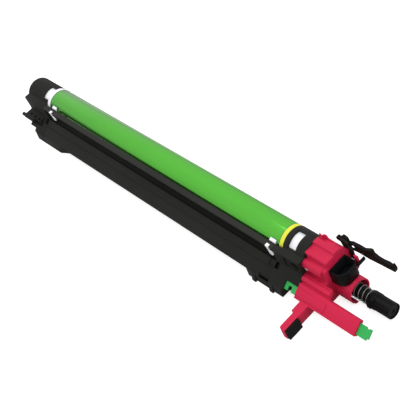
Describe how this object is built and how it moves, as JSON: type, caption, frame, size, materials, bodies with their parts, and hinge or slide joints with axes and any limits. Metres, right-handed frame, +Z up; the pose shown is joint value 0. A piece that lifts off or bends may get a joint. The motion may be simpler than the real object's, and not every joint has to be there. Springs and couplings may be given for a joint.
{
  "type": "printer drum unit",
  "caption": "Long page-printer drum unit: a green photoconductor drum in an open black casing, with a red front cover, pull handle, wire-cleaner bar, waste pipe and lever.",
  "frame": {"origin": "on the drum's axis, at the rear end of its green coat", "axes": "+X along the drum's axis towards the front cover and pull handle, +Z up from the feet, -Y towards the sloped panel and the handle"},
  "size_m": [0.5087, 0.0871, 0.0501],
  "materials": {
    "drum_green": "glossy green photoconductor coat on an aluminium tube",
    "yellow_plastic": "smooth yellow moulding",
    "white_plastic": "smooth white acetal",
    "bearing_plastic": "plain bearing plastic",
    "black_casing": "black moulding, fine spark texture",
    "black_strip": "black moulding, slightly satin",
    "steel_sheet": "thin stainless sheet",
    "tungsten": "thin drawn wire",
    "green_plastic": "smooth green moulding",
    "blade_rubber": "urethane rubber",
    "screw_steel": "zinc-plated screw",
    "clear_film": "thin polyester film",
    "auger_plastic": "dark moulding",
    "black_gloss": "smooth black moulding",
    "spring_steel": "bright spring wire",
    "red_plastic": "satin crimson moulding",
    "foam": "closed-cell black foam",
    "white_felt": "short white felt"
  },
  "bodies": {
    "frame": {"front_bearing": "bearing_plastic", "rear_bearing": "bearing_plastic", "casing": "black_casing", "light_strip": "black_strip", "rear_housing": "black_casing", "front_housing": "black_casing", "charger_shield": "steel_sheet", "charger_grid": "steel_sheet", "charger_wire": "tungsten", "charger_ends": "bearing_plastic", "cleaning_blade": "blade_rubber", "blade_bracket": "steel_sheet", "blade_screws": "screw_steel", "recovery_film": "clear_film", "waste_pipe": "black_gloss", "shutter_spring": "spring_steel", "front_cover": "red_plastic", "handle_pad": "foam", "shaft_cup": "black_gloss", "lever_bracket": "black_casing", "end_seals": "white_felt", "strip_clips": "white_plastic", "cover_screw": "screw_steel"},
    "drum": {"drum_tube": "drum_green", "front_flange": "yellow_plastic", "front_hub": "white_plastic", "rear_flange": "white_plastic"},
    "cleaner": {"cleaner_bar": "green_plastic", "cleaner_carriage": "white_plastic"},
    "auger": {"auger": "auger_plastic", "auger_gear": "white_plastic"},
    "idler": {"idler_gear": "white_plastic"},
    "shutter": {"shutter_sleeve": "black_gloss"},
    "lever_arm": {"lever": "black_casing"}
  },
  "joints": [
    {"name": "drum_spin", "type": "hinge", "parent": "frame", "child": "drum", "pos_m": [0, 0, 0], "axis": [1, 0, 0], "continuous": true},
    {"name": "idler_spin", "type": "hinge", "parent": "frame", "child": "idler", "pos_m": [0, 0.01007, -0.0149], "axis": [1, 0, 0], "continuous": true},
    {"name": "auger_spin", "type": "hinge", "parent": "frame", "child": "auger", "pos_m": [0, 0.0012, -0.023], "axis": [1, 0, 0], "continuous": true},
    {"name": "cleaner_slide", "type": "slide", "parent": "frame", "child": "cleaner", "axis": [1, 0, 0], "range_m": [0, 0.31]},
    {"name": "shutter_slide", "type": "slide", "parent": "frame", "child": "shutter", "axis": [-1, 0, 0], "range_m": [0, 0.009], "stiffness_N_per_m": 120, "springref_m": -0.004, "deforming": ["shutter_spring"]},
    {"name": "lever_pivot", "type": "hinge", "parent": "frame", "child": "lever_arm", "pos_m": [0.401, 0.02, 0.0115], "axis": [0, -1, 0], "range_deg": [0, 25]}
  ],
  "couplings": [
    {"joint": "idler_spin", "follows": "drum_spin", "ratio": -2},
    {"joint": "auger_spin", "follows": "drum_spin", "ratio": 2}
  ]
}
